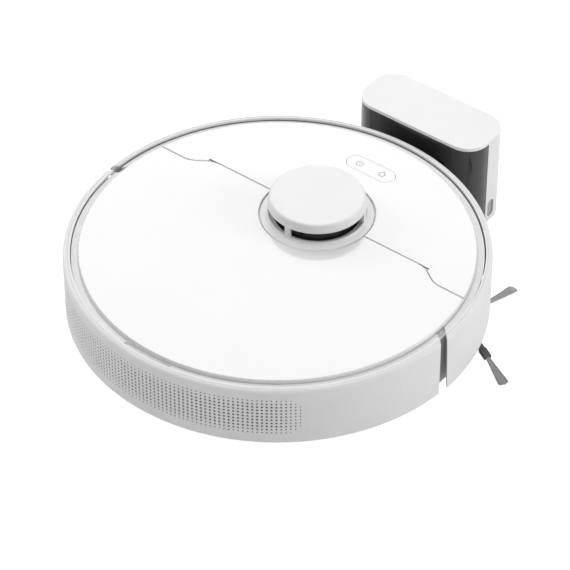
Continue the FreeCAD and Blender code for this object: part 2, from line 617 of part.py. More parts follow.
# ---------------------------------------------------------------- running gear
def make_wheels():
    for side, hand in ((-1, "left"), (1, "right")):
        case = box(f"{side} * arm_x", "(arm_y + wheel_y) / 2", "arm_z - 11", "arm_wide", "wheel_y - arm_y + 18", "20")
        pivot = rod("79.2" if side > 0 else "-99.3", "arm_y", "arm_z", "axle_radius", "20.1", axis="X")
        start = "arm_x" if side > 0 else "-arm_x - 8"
        bore = rod(start, "wheel_y", "wheel_radius", "axle_radius + fit", "8", axis="X")
        keep(f"wheel_arm_{hand}", cut(fuse(case, pivot), bore))
        inner, outer = "wheel_x - wheel_wide / 2", "wheel_x + wheel_wide / 2"
        low = inner if side > 0 else f"-({outer})"
        disc = rod(low, "wheel_y", "wheel_radius", "hub_radius", "wheel_wide", axis="X")
        dish = rod(f"{outer} - 3" if side > 0 else f"-({outer}) - 2", "wheel_y", "wheel_radius", "18", "5", axis="X")
        axle_start = "arm_x + 1" if side > 0 else f"-({inner}) - 1"
        axle = rod(axle_start, "wheel_y", "wheel_radius", "axle_radius", "wheel_x - wheel_wide / 2 - arm_x",
                   axis="X")
        keep(f"wheel_hub_{hand}", fuse(cut(disc, dish), axle))
        tread = rod(low, "wheel_y", "wheel_radius", "wheel_radius", "wheel_wide", axis="X")
        middle = rod(f"{low} - 1", "wheel_y", "wheel_radius", "hub_radius", "wheel_wide + 2", axis="X")
        keep(f"tyre_{hand}", cut(tread, middle))
        coil = tube(f"{side} * arm_x", "wheel_y - 4", "arm_z + 9.3", "4", "2.8", "24")
        keep(f"suspension_spring_{hand}", coil)


def make_caster():
    socket = turned([("caster_room", "clearance + plate"), ("caster_room + 1.6", "clearance + plate"),
                     ("caster_room + 1.6", "30"), ("stem_radius + 3", "30"), ("stem_radius + 3", "40"),
                     ("stem_radius + fit", "40"), ("stem_radius + fit", "28.5"), ("caster_room", "28.5")],
                    y="caster_y")
    keep("caster_socket", socket)
    plate = rod("0", "caster_y", "24", "caster_room - 1.4", "4.1")
    stem = rod("0", "caster_y", "28", "stem_radius", "11")
    cheeks = [box(f"{side} * (caster_wide / 2 + 2)", "caster_y - caster_trail", "7", "3", "12", "17.5")
              for side in (-1, 1)]
    bore = rod("-15", "caster_y - caster_trail", "caster_radius", "1.5", "30", axis="X")
    keep("caster_fork", cut(fuse(plate, stem, *cheeks), bore))
    wheel = rod("-caster_wide / 2", "caster_y - caster_trail", "caster_radius", "caster_radius",
                "caster_wide", axis="X")
    eye = rod("-15", "caster_y - caster_trail", "caster_radius", "1.5 + fit", "30", axis="X")
    keep("caster_wheel", cut(wheel, eye))
    keep("caster_axle", rod("-caster_wide / 2 - 3.5", "caster_y - caster_trail", "caster_radius", "1.5",
                            "caster_wide + 7", axis="X"))


# ---------------------------------------------------------------- charging dock
def dock_block(rear, low, high, inset):
    """The dock's rear or front half in plan, its outer corners rounded, drawn in by an inset."""
    half = f"dock_half - {inset}"
    edge = f"dock_back - {inset}" if rear else f"dock_front + {inset}"
    points = [(f"-({half})", "dock_split"), (half, "dock_split"), (half, edge), (f"-({half})", edge)]
    block = padded(points, low, high)
    corner = worked_out(edge)
    return rounded(block, f"dock_round - {inset}", upright_edge(lambda x, y: abs(y - corner) < 0.1))


def slot_tool(grow):
    """The oval cable outlet's shape through the dock's right wall."""
    radius = f"outlet_wide / 2 + {grow}"
    rise = "(outlet_tall - outlet_wide) / 2"
    ends = [rod("dock_half - 6", "outlet_y", f"outlet_z + {sign} * {rise}", radius, "12", axis="X")
            for sign in (-1, 1)]
    middle = box("dock_half", "outlet_y", f"outlet_z - {rise}", "12", f"2 * ({radius})", f"2 * {rise}")
    return fuse(middle, *ends)


def make_dock():
    body_high = "dock_top - dock_cap"
    shell = cut(dock_block(True, "0", body_high, "0"), dock_block(True, "dock_wall", "dock_top", "dock_wall"),
                slot_tool("0"))
    keep("dock_shell", shell)
    front = cut(dock_block(False, "dock_base", f"{body_high} - dock_base", "0"),
                dock_block(False, "dock_base - 1", "dock_top", "dock_wall"))
    keep("dock_front", front)
    cap = fuse(dock_block(True, body_high, "dock_cap", "0"), dock_block(False, body_high, "dock_cap", "0"))
    keep("dock_cap", cap)
    plinth = dock_block(False, "0", "dock_base", "3")
    foot_deep = "dock_front + 8 - foot_front"
    foot = box("0", f"foot_front + ({foot_deep}) / 2", "0", "116", foot_deep, "foot_top")
    wells = [box(f"{side} * contact_x", "contact_y", "1.2", "8.8", "6.8", "8") for side in (-1, 1)]
    keep("dock_foot", cut(fuse(plinth, foot), *wells))
    pins = [box(f"{side} * contact_x", "contact_y", "3.6", "8", "6", "clearance - 0.3 - 3.6") for side in (-1, 1)]
    keep("dock_contacts", fuse(*pins))
    keep("dock_board", box("0", "dock_split + 14", "30", "70", "1.6", "40"))


# ---------------------------------------------------------------- build, test, write
make_bumper()
make_rear_shell()
make_grille()
make_covers()
make_button()
make_base()
make_underside()
make_deck()
make_electronics()
make_turret()
make_laser()
make_bin()
make_main_brush()
make_side_brush()
make_fan()
make_wheels()
make_caster()
make_dock()
doc.recompute()

faults = [item.Label for item in doc.Objects if {"Invalid", "Error"} & set(item.State)]
for node, thing in nodes.items():
    if thing.Shape.isNull() or not thing.Shape.isValid() or not thing.Shape.Solids:
        faults.append(node)
if faults:
    raise SystemExit(f"failed: {faults}")

os.makedirs("parts", exist_ok=True)
for node, thing in nodes.items():
    thing.Shape.exportStep(f"parts/{node}.step")
    print(node, len(thing.Shape.Solids), round(thing.Shape.Volume))
print(len(nodes), "nodes")
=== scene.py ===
import json
import math
import random

import bmesh
import bpy
from mathutils import Matrix, Vector


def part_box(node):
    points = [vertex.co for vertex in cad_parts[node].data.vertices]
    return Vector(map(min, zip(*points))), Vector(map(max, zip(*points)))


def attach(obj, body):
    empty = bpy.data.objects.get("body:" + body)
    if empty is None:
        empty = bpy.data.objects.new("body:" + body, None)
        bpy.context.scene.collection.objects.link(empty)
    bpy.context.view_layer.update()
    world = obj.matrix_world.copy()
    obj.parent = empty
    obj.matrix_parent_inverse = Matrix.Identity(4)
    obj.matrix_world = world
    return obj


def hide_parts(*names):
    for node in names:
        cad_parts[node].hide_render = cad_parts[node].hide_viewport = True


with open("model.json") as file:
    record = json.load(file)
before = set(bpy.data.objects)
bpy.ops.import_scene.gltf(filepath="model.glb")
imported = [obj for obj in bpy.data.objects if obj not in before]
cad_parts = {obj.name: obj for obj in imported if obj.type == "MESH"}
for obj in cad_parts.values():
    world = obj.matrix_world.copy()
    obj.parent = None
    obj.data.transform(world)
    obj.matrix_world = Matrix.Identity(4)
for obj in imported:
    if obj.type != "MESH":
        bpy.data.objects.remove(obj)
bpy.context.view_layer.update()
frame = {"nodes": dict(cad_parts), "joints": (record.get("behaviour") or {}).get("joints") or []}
joints = {joint["name"]: joint for joint in frame["joints"]}
chance = random.Random(7)

MM = 0.001
X, Y, Z = Vector((1, 0, 0)), Vector((0, 1, 0)), Vector((0, 0, 1))


# ------------------------------------------------------------------ mesh helpers
def finish_piece(bm, name, body, materials, replaces=(), smooth=35):
    """Turns a bmesh into a shown piece: outward faces, soft shading, material, body."""
    bmesh.ops.remove_doubles(bm, verts=bm.verts, dist=1e-7)
    bmesh.ops.recalc_face_normals(bm, faces=bm.faces)
    mesh = bpy.data.meshes.new(name)
    bm.to_mesh(mesh)
    bm.free()
    mesh.polygons.foreach_set("use_smooth", [True] * len(mesh.polygons))
    mesh.set_sharp_from_angle(angle=math.radians(smooth))
    piece = bpy.data.objects.new(name, mesh)
    bpy.context.scene.collection.objects.link(piece)
    for material in materials if isinstance(materials, (list, tuple)) else [materials]:
        mesh.materials.append(material)
    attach(piece, body)
    if replaces:
        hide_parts(*replaces)
    return piece


def lathe(bm, profile, centre, steps=128):
    """Spins a closed outline of (radius, height, corner rounding) points about an upright line."""
    corners = [bm.verts.new((centre[0] + radius, centre[1], height)) for radius, height, _ in profile]
    edges = [bm.edges.new((corners[i], corners[(i + 1) % len(corners)])) for i in range(len(corners))]
    rounds = [(corner, point[2]) for corner, point in zip(corners, profile) if point[2] > 0]
    for corner, amount in rounds:
        bmesh.ops.bevel(bm, geom=[corner], offset=amount, offset_type="OFFSET", affect="VERTICES",
                        segments=5, profile=0.5, material=-1)
    ring = [edge for edge in bm.edges if not edge.link_faces]
    outline = ring + [vert for vert in bm.verts if vert.link_edges and not vert.link_faces]
    bmesh.ops.spin(bm, geom=outline, cent=(centre[0], centre[1], 0), axis=Z, angle=2 * math.pi,
                   steps=steps, use_merge=True, dvec=(0, 0, 0), use_duplicate=False)
    return bm


def block(bm, low, high, bevel=0.0, segments=3):
    """A box between two corners with rounded edges."""
    size = Vector(high) - Vector(low)
    middle = (Vector(high) + Vector(low)) / 2
    made = bmesh.ops.create_cube(bm, size=1.0)
    verts = made["verts"]
    bmesh.ops.scale(bm, vec=size, verts=verts)
    if bevel:
        edges = list({edge for vert in verts for edge in vert.link_edges})
        made = bmesh.ops.bevel(bm, geom=edges, offset=bevel, offset_type="OFFSET", affect="EDGES",
                               segments=segments, profile=0.5, material=-1, clamp_overlap=True)
        shaved = {vert for face in made["faces"] for vert in face.verts}
        verts = list(shaved | {vert for vert in verts if vert.is_valid})
    bmesh.ops.translate(bm, vec=middle, verts=verts)
    return verts


def hinge_point(name):
    return Vector(joints[name]["pos_m"])


# ------------------------------------------------------------------ material helpers
class Look:
    """A Principled material with its own object coordinates and a few detail layers."""

    def __init__(self, name, color, roughness, **sockets):
        self.material = bpy.data.materials.new(name)
        self.material.use_nodes = True
        self.tree = self.material.node_tree
        self.tree.nodes.clear()
        self.shader = self.add("ShaderNodeBsdfPrincipled")
        out = self.add("ShaderNodeOutputMaterial")
        self.tree.links.new(self.shader.outputs[0], out.inputs["Surface"])
        self.shader.inputs["Base Color"].default_value = (*color, 1)
        self.shader.inputs["Roughness"].default_value = roughness
        for socket, value in sockets.items():
            self.shader.inputs[socket.replace("_", " ")].default_value = value
        self.color, self.roughness = color, roughness
        self.place = self.add("ShaderNodeTexCoord").outputs["Object"]
        self.normal = None

    def add(self, kind, **values):
        node = self.tree.nodes.new(kind)
        for key, value in values.items():
            if key in node.inputs:
                node.inputs[key].default_value = value
            else:
                setattr(node, key, value)
        return node

    def link(self, output, target):
        self.tree.links.new(output, target)

    def noise(self, scale, detail=3.0, stretch=None, distortion=0.0):
        node = self.add("ShaderNodeTexNoise", Scale=scale, Detail=detail, Distortion=distortion)
        place = self.place
        if stretch:
            mapping = self.add("ShaderNodeMapping", Scale=stretch)
            self.link(place, mapping.inputs["Vector"])
            place = mapping.outputs[0]
        self.link(place, node.inputs["Vector"])
        return node.outputs["Fac"]

    def span(self, value, low, high, start=0.3, stop=0.7):
        node = self.add("ShaderNodeMapRange")
        for socket, number in (("From Min", start), ("From Max", stop), ("To Min", low), ("To Max", high)):
            node.inputs[socket].default_value = number
        self.link(value, node.inputs["Value"])
        return node.outputs["Result"]

    def blend_color(self, amount, first, second):
        node = self.add("ShaderNodeMix", data_type="RGBA")
        node.inputs[6].default_value = (*first, 1)
        node.inputs[7].default_value = (*second, 1)
        self.link(amount, node.inputs[0])
        self.link(node.outputs[2], self.shader.inputs["Base Color"])
        return self

    def mottle(self, scale, change, detail=4.0):
        """Slow variation of the colour by a share up and down."""
        low = tuple(part * (1 - change) for part in self.color)
        high = tuple(min(1.0, part * (1 + change)) for part in self.color)
        return self.blend_color(self.span(self.noise(scale, detail), 0, 1), low, high)

    def polish(self, scale, low, high, stretch=None):
        """Roughness that drifts between two values, as handling leaves it."""
        self.link(self.span(self.noise(scale, 5, stretch), low, high), self.shader.inputs["Roughness"])
        return self

    def bump(self, height, depth, strength=1.0):
        node = self.add("ShaderNodeBump", Distance=depth, Strength=strength)
        self.link(height, node.inputs["Height"])
        if self.normal:
            self.link(self.normal, node.inputs["Normal"])
        self.normal = node.outputs["Normal"]
        self.link(self.normal, self.shader.inputs["Normal"])
        return self

    def grain(self, scale, depth, strength=1.0, stretch=None):
        return self.bump(self.noise(scale, 2, stretch), depth, strength)


def gloss_white():
    look = Look("gloss_white_lid", (0.86, 0.862, 0.865), 0.12, Coat_Weight=0.55, Coat_Roughness=0.05,
                Specular_IOR_Level=0.5)
    return look.mottle(18, 0.012).polish(55, 0.09, 0.15).grain(9, 0.00004, 0.25).material


def satin_white():
    look = Look("satin_white_shell", (0.86, 0.862, 0.86), 0.42, Specular_IOR_Level=0.45)
    look.mottle(24, 0.014).polish(80, 0.36, 0.48)
    return look.grain(5200, 0.00002, 0.5).material


# Painted light: a lighter copy of the shell white for the turret cap, turret base and dock cap, raised to
# make up for the shade on the cap's sides.
def painted_light_cap():
    look = Look("painted_light_cap_white", (0.905, 0.906, 0.904), 0.4, Specular_IOR_Level=0.45)
    return look.mottle(24, 0.01).polish(80, 0.34, 0.46).grain(5200, 0.00002, 0.5).material


def rim_grey():
    look = Look("rim_channel_grey", (0.83, 0.833, 0.835), 0.34, Specular_IOR_Level=0.5)
    return look.mottle(30, 0.02).polish(90, 0.28, 0.42).grain(4200, 0.00002, 0.5).material


def chassis_grey():
    look = Look("chassis_moulding", (0.60, 0.605, 0.615), 0.55)
    look.mottle(26, 0.035).polish(60, 0.48, 0.66)
    return look.grain(2600, 0.00006, 0.8).material


def charcoal():
    look = Look("charcoal_moulding", (0.045, 0.046, 0.05), 0.5)
    return look.mottle(40, 0.12).polish(70, 0.42, 0.6).grain(2400, 0.00005, 0.8).material


def hub_grey():
    look = Look("wheel_hub_grey", (0.20, 0.205, 0.215), 0.45)
    return look.mottle(45, 0.08).polish(80, 0.35, 0.55).grain(3000, 0.00004, 0.7).material


def tread_rubber():
    look = Look("tread_rubber", (0.035, 0.035, 0.036), 0.78, Sheen_Weight=0.15)
    return look.mottle(120, 0.25).polish(150, 0.7, 0.88).grain(1800, 0.0001, 0.9).material


def arm_rubber():
    look = Look("sweeper_rubber", (0.13, 0.132, 0.135), 0.62, Sheen_Weight=0.2)
    return look.mottle(140, 0.18).polish(180, 0.55, 0.72).grain(2600, 0.00006, 0.8).material


def nylon():
    look = Look("nylon_bristle", (0.46, 0.46, 0.455), 0.38, Sheen_Weight=0.3)
    return look.mottle(700, 0.22).polish(500, 0.3, 0.5).material


def piano_black():
    look = Look("piano_black", (0.012, 0.012, 0.0135), 0.12, Coat_Weight=0.8, Coat_Roughness=0.03)
    return look.mottle(30, 0.15).polish(40, 0.09, 0.2).grain(12, 0.00004, 0.3).material


def smoked_window():
    look = Look("smoked_window", (0.016, 0.012, 0.014), 0.08, Coat_Weight=0.6, Coat_Roughness=0.02)
    return look.mottle(60, 0.2).polish(70, 0.06, 0.16).material


def turned_steel():
    look = Look("turned_steel", (0.56, 0.56, 0.57), 0.3, Metallic=1.0)
    look.mottle(200, 0.08)
    return look.polish(400, 0.22, 0.4, (1, 1, 12)).grain(1500, 0.00002, 0.5, (1, 1, 14)).material


def motor_can():
    look = Look("motor_can", (0.60, 0.60, 0.61), 0.34, Metallic=1.0)
    look.mottle(150, 0.06).polish(260, 0.26, 0.42, (12, 1, 1))
    return look.grain(900, 0.00002, 0.5, (16, 1, 1)).material


def gilt():
    look = Look("gilt_contact", (0.83, 0.62, 0.29), 0.24, Metallic=1.0)
    return look.mottle(260, 0.1).polish(300, 0.18, 0.36).material


def circuit_board():
    look = Look("lacquered_board", (0.02, 0.12, 0.06), 0.3, Coat_Weight=0.3)
    brick = look.add("ShaderNodeTexBrick", Scale=160.0)
    look.link(look.place, brick.inputs["Vector"])
    look.blend_color(brick.outputs["Fac"], (0.018, 0.11, 0.055), (0.06, 0.22, 0.12))
    return look.polish(200, 0.22, 0.4).grain(900, 0.00008, 0.6).material


def battery_wrap():
    look = Look("battery_wrap", (0.03, 0.09, 0.20), 0.3, Coat_Weight=0.3)
    return look.mottle(35, 0.12).polish(60, 0.2, 0.38).grain(220, 0.0001, 0.5).material


def smoked_clear():
    look = Look("smoked_clear_bin", (0.20, 0.21, 0.225), 0.12, Coat_Weight=0.3)
    look.shader.inputs["Transmission Weight"].default_value = 0.35
    return look.mottle(25, 0.08).polish(60, 0.1, 0.22).grain(3000, 0.00001, 0.4).material


def pleat_paper():
    look = Look("pleated_paper", (0.80, 0.80, 0.75), 0.85, Sheen_Weight=0.2)
    return look.mottle(300, 0.05).grain(1600, 0.00012, 0.9).material


def printed_grey():
    look = Look("printed_mark", (0.40, 0.41, 0.42), 0.5)
    return look.mottle(400, 0.06).material


# Painted shade: this dark grey on the floors of the grille's blind holes stands in for the shade inside them.
def painted_hole_shade():
    look = Look("hole_painted_shade", (0.12, 0.12, 0.122), 0.8)
    return look.mottle(300, 0.1).grain(1500, 0.0001, 0.6).material


looks = {
    "lid": gloss_white(), "shell": satin_white(), "cap": painted_light_cap(), "rim": rim_grey(),
    "chassis": chassis_grey(),
    "charcoal": charcoal(), "hub": hub_grey(), "tread": tread_rubber(), "arm": arm_rubber(),
    "nylon": nylon(), "black": piano_black(), "window": smoked_window(), "steel": turned_steel(),
    "can": motor_can(), "gilt": gilt(), "board": circuit_board(), "battery": battery_wrap(),
    "clear": smoked_clear(), "paper": pleat_paper(), "mark": printed_grey(), "hole": painted_hole_shade(),
}
NODE_LOOKS = {
    "lid": ("lid_panel", "front_cover", "button_plate"),
    "shell": ("bumper_shell", "rear_side_shell", "dock_shell"),
    "cap": ("turret_cap", "turret_base", "dock_cap"),
    "rim": ("top_deck", "bin_bay", "exhaust_grille"),
    "chassis": ("base_shell", "battery_cover", "brush_guard", "brush_housing", "caster_socket", "lidar_base"),
    "charcoal": ("caster_fork", "caster_wheel", "wheel_arm_left", "wheel_arm_right", "brush_gearbox",
                 "side_brush_gearbox", "fan_housing", "fan_impeller", "lidar_head", "lidar_pulley",
                 "main_brush_core", "bin_filter_frame", "speaker"),
    "hub": ("wheel_hub_left", "wheel_hub_right"),
    "tread": ("tyre_left", "tyre_right"),
    "arm": ("side_brush_hub", "inlet_seal", "lidar_belt"),
    "nylon": ("side_brush_bristles", "main_brush_bristles"),
    "window": ("dock_sensor_window", "cliff_sensors"),
    "steel": ("lid_hinge_pins", "caster_axle", "suspension_spring_left", "suspension_spring_right",
              "base_screws"),
    "can": ("brush_motor", "fan_motor", "lidar_motor"),
    "gilt": ("charge_contacts", "dock_contacts"),
    "board": ("main_board", "dock_board"),
    "battery": ("battery_pack",),
    "clear": ("bin_body", "bin_cover"),
    "paper": ("bin_filter",),
    "black": ("dock_front", "dock_foot"),
}
for look_name, node_names in NODE_LOOKS.items():
    for node_name in node_names:
        mesh = frame["nodes"][node_name].data
        mesh.materials.clear()
        mesh.materials.append(looks[look_name])


# ------------------------------------------------------------------ exhaust grille
GRILLE_PITCH_ALONG, GRILLE_PITCH_UP = 3.75 * MM, 3.35 * MM
GRILLE_ROWS, GRILLE_THICK, GRILLE_HOLE = 11, 1.4 * MM, 1.0 * MM
GRILLE_HALF = math.radians(45.79)


def exhaust_grille():
    """The curved panel with its field of blind holes, which get finer towards the field's edges."""
    low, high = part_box("exhaust_grille")
    radius, half = 175 * MM, GRILLE_HALF
    tall, middle = high.z - low.z + 0.18 * MM, (high.z + low.z) / 2
    columns = 2 * int(half * radius / GRILLE_PITCH_ALONG - 0.5) + 1
    field_wide, field_tall = columns * GRILLE_PITCH_ALONG, GRILLE_ROWS * GRILLE_PITCH_UP
    bm = bmesh.new()
    bmesh.ops.create_grid(bm, x_segments=columns, y_segments=GRILLE_ROWS, size=0.5)
    bmesh.ops.scale(bm, vec=(field_wide, field_tall, 1), verts=bm.verts)
    cells = list(bm.faces)
    for vert in bm.verts:
        if abs(vert.co.x) > field_wide / 2 - 1e-6:
            vert.co.x = math.copysign(half * radius, vert.co.x)
        if abs(vert.co.y) > field_tall / 2 - 1e-6:
            vert.co.y = math.copysign(tall / 2, vert.co.y)
    uprights = []
    for face in cells:
        spot = face.calc_center_median()
        column = max(-(columns // 2), min(columns // 2, round(spot.x / GRILLE_PITCH_ALONG)))
        row = max(-(GRILLE_ROWS // 2), min(GRILLE_ROWS // 2, round(spot.y / GRILLE_PITCH_UP)))
        inward = columns // 2 - abs(column)
        if abs(row) > {0: 3, 1: 4}.get(inward, GRILLE_ROWS // 2):
            continue
        share = min(1.0, 0.74 + 0.05 * inward) * {5: 0.76, 4: 0.9}.get(abs(row), 1.0)
        hole = GRILLE_HOLE * share
        bmesh.ops.inset_individual(bm, faces=[face], thickness=0.4 * MM, use_even_offset=True)
        centre = Vector((column * GRILLE_PITCH_ALONG, row * GRILLE_PITCH_UP, 0))
        mouth = list(face.verts)
        for vert in mouth:
            vert.co = centre + Vector((math.copysign(hole, vert.co.x - centre.x),
                                       math.copysign(hole, vert.co.y - centre.y), 0))
        pocket = bmesh.ops.extrude_discrete_faces(bm, faces=[face])["faces"][0]
        # The pocket's floor gets the painted-shade dark grey (material slot 1).
        pocket.material_index = 1
        bmesh.ops.translate(bm, vec=(0, 0, -GRILLE_THICK * 0.7), verts=list(pocket.verts))
        uprights += [edge for vert in pocket.verts for edge in vert.link_edges if edge not in pocket.edges]
    bmesh.ops.bevel(bm, geom=list(set(uprights)), offset=0.29 * 2 * GRILLE_HOLE, offset_type="OFFSET",
                    affect="EDGES", segments=1, profile=0.5, material=-1, clamp_overlap=True)
    rim = [edge for edge in bm.edges if edge.is_boundary]
    skirt = bmesh.ops.extrude_edge_only(bm, edges=rim)["geom"]
    lower = [item for item in skirt if isinstance(item, bmesh.types.BMVert)]
    bmesh.ops.translate(bm, vec=(0, 0, -GRILLE_THICK), verts=lower)
    backing = bmesh.ops.create_grid(bm, x_segments=columns, y_segments=GRILLE_ROWS, size=0.5)["verts"]
    bmesh.ops.scale(bm, vec=(field_wide, field_tall, 1), verts=backing)
    bmesh.ops.translate(bm, vec=(0, 0, -GRILLE_THICK), verts=backing)
    for vert in backing:
        if abs(vert.co.x) > field_wide / 2 - 1e-6:
            vert.co.x = math.copysign(half * radius, vert.co.x)
        if abs(vert.co.y) > field_tall / 2 - 1e-6:
            vert.co.y = math.copysign(tall / 2, vert.co.y)
    bmesh.ops.remove_doubles(bm, verts=bm.verts, dist=1e-6)
    for vert in bm.verts:
        angle = -math.pi / 2 + vert.co.x / radius
        reach = radius - 0.01 * MM + vert.co.z
        vert.co = Vector((math.cos(angle) * reach, math.sin(angle) * reach, middle + vert.co.y))
    finish_piece(bm, "exhaust_grille_panel", "robot", [looks["shell"], looks["hole"]],
                 replaces=("exhaust_grille",), smooth=25)


# ------------------------------------------------------------------ brushes
def strand(bm, root, tip, thick, droop=0.0, sides=4, steps=3):
    """One bristle: a thin tapered rod from root to tip that sags by droop on the way."""
    along = (tip - root).normalized()
    turn = Z.rotation_difference(along).to_matrix().to_4x4()
    ring = bmesh.ops.create_circle(bm, cap_ends=True, segments=sides, radius=thick,
                                   matrix=Matrix.Translation(root) @ turn)["verts"]
    edges = list({edge for vert in ring for edge in vert.link_edges})
    previous = root
    for step in range(1, steps + 1):
        share = step / steps
        place = root.lerp(tip, share) - Z * droop * math.sin(math.pi * share)
        made = bmesh.ops.extrude_edge_only(bm, edges=edges)["geom"]
        ring = [item for item in made if isinstance(item, bmesh.types.BMVert)]
        edges = [item for item in made if isinstance(item, bmesh.types.BMEdge)
                 and item.verts[0] in ring and item.verts[1] in ring]
        bmesh.ops.translate(bm, vec=place - previous, verts=ring)
        middle = sum((vert.co for vert in ring), Vector()) / len(ring)
        bmesh.ops.scale(bm, vec=(0.86, 0.86, 0.86), verts=ring, space=Matrix.Translation(-middle))
        previous = place
    bmesh.ops.contextual_create(bm, geom=edges)


SWEEP_CENTRE = hinge_point("side_brush_spin").xy
SWEEP_ARM, SWEEP_REACH, SWEEP_TURN = 36 * MM, 67.6 * MM, -29
TUFT_STRANDS, TUFT_ROOT, TUFT_TIP = 150, 1.3 * MM, 4.5 * MM
BENT_ARM, ARM_BEND, TIP_BEND, TIP_STRETCH = 1, 14.0, 2.0, 3.2 * MM


def sweep_frame(index, bent=0.0):
    """The frame of one arm, turned by a few degrees more where the soft arm is bent."""
    return Matrix.Translation((*SWEEP_CENTRE, 0)) @ Matrix.Rotation(
        math.radians(SWEEP_TURN + 120 * index + bent), 4, "Z")


def side_brush():
    """Three flexible arms on a screwed hub, each with a ferrule and a fanned tuft."""
    hub = bmesh.new()
    lathe(hub, [(0, 3.5, 0), (7.6, 3.5, 1.0), (8, 5.4, 0.6), (7.2, 9.4, 0.8), (2.5, 9.4, 0.3),
                (2.5, 29.3, 0.3), (0, 29.3, 0)], (0, 0), 64)
    bmesh.ops.scale(hub, vec=(MM, MM, MM), verts=hub.verts)
    bmesh.ops.translate(hub, vec=(*SWEEP_CENTRE, 0), verts=hub.verts)
    tufts = bmesh.new()
    for index in range(3):
        bent = index == BENT_ARM
        place, tip_place = sweep_frame(index, ARM_BEND * bent), sweep_frame(index, TIP_BEND * bent)
        arm = block(hub, (5 * MM, -2.8 * MM, 3.7 * MM), (27 * MM, 2.8 * MM, 6.8 * MM), 0.9 * MM)
        ferrule = block(hub, (25 * MM, -3.3 * MM, 3.4 * MM), (36 * MM, 3.3 * MM, 7.1 * MM), 0.5 * MM)
        ribs = [vert for rib in range(3)
                for vert in block(hub, ((11 + 4 * rib) * MM, -2.4 * MM, 6.4 * MM),
                                  ((12.6 + 4 * rib) * MM, 2.4 * MM, 7.2 * MM), 0.3 * MM, 2)]
        bmesh.ops.transform(hub, matrix=place, verts=list({*arm, *ferrule, *ribs}))
        for _ in range(TUFT_STRANDS):
            across, level = chance.uniform(-1, 1), chance.uniform(-1, 1)
            root = Vector((SWEEP_ARM - 1 * MM, across * TUFT_ROOT, (5.2 + 0.9 * level) * MM))
            reach = SWEEP_REACH + TIP_STRETCH * bent - (1.6 * across * across + chance.uniform(0, 1.6)) * MM
            tip = Vector((reach, across * TUFT_TIP + chance.gauss(0, 0.25) * MM, (2.2 + 0.7 * level) * MM))
            strand(tufts, place @ root, tip_place @ tip, chance.uniform(0.16, 0.22) * MM, 0.3 * MM)
    finish_piece(hub, "side_brush_arms", "side_brush", looks["arm"], ("side_brush_hub",))
    finish_piece(tufts, "side_brush_tufts", "side_brush", looks["nylon"],
                 ("side_brush_bristles",))
    screw = bmesh.new()
    screw_at = Vector((*SWEEP_CENTRE, 3.45 * MM))
    lathe(screw, [(0, 0.0, 0), (2.6, 0.0, 0.5), (2.8, -0.9, 0.3), (0, -0.9, 0)], (0, 0), 32)
    bmesh.ops.scale(screw, vec=(MM, MM, MM), verts=screw.verts)
    bmesh.ops.translate(screw, vec=screw_at, verts=screw.verts)
    finish_piece(screw, "side_brush_screw", "side_brush", looks["steel"])


BRUSH_ROWS, ROW_TUFTS = 6, 46


def main_brush():
    """Rubber fins and bristle rows in turn, both swept into a shallow V along the roller."""
    low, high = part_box("main_brush_bristles")
    centre, start, stop = hinge_point("main_brush_spin"), low.x + 1 * MM, high.x - 1 * MM
    core, tip = 9.4 * MM, (high.y - low.y) / 2 - 0.4 * MM
    fins, rows = bmesh.new(), bmesh.new()

    def place(x, angle, reach):
        lean = angle + math.radians(24) * (1 - abs(2 * (x - start) / (stop - start) - 1))
        return Vector((x, centre.y + math.cos(lean) * reach, centre.z + math.sin(lean) * reach))

    for row in range(BRUSH_ROWS):
        angle = math.radians(60 * row)
        if row % 2:
            made = bmesh.ops.create_grid(fins, x_segments=48, y_segments=1, size=0.5)["verts"]
            for vert in made:
                outer = vert.co.y > 0
                x = start + (vert.co.x + 0.5) * (stop - start)
                vert.co = place(x, angle, tip - 0.6 * MM if outer else core)
            continue
        for index in range(ROW_TUFTS):
            x = start + (index + 0.5) / ROW_TUFTS * (stop - start)
            for _ in range(7):
                shift = chance.uniform(-1.1, 1.1) * MM
                spread = chance.uniform(-0.035, 0.035)
                strand(rows, place(x + shift * 0.5, angle + spread, core - 0.3 * MM),
                       place(x + shift * 1.4, angle + spread * 1.6, tip - chance.uniform(0, 0.9) * MM),
                       0.2 * MM, 0, 3, 1)
    bmesh.ops.recalc_face_normals(fins, faces=fins.faces)
    bmesh.ops.solidify(fins, geom=list(fins.faces) + list(fins.edges) + list(fins.verts), thickness=1.1 * MM)
    finish_piece(fins, "main_brush_fins", "main_brush", looks["arm"])
    finish_piece(rows, "main_brush_rows", "main_brush", looks["nylon"],
                 ("main_brush_bristles",))


# ------------------------------------------------------------------ wheels
TREAD_BLOCKS, TREAD_DEPTH = 42, 1.3 * MM


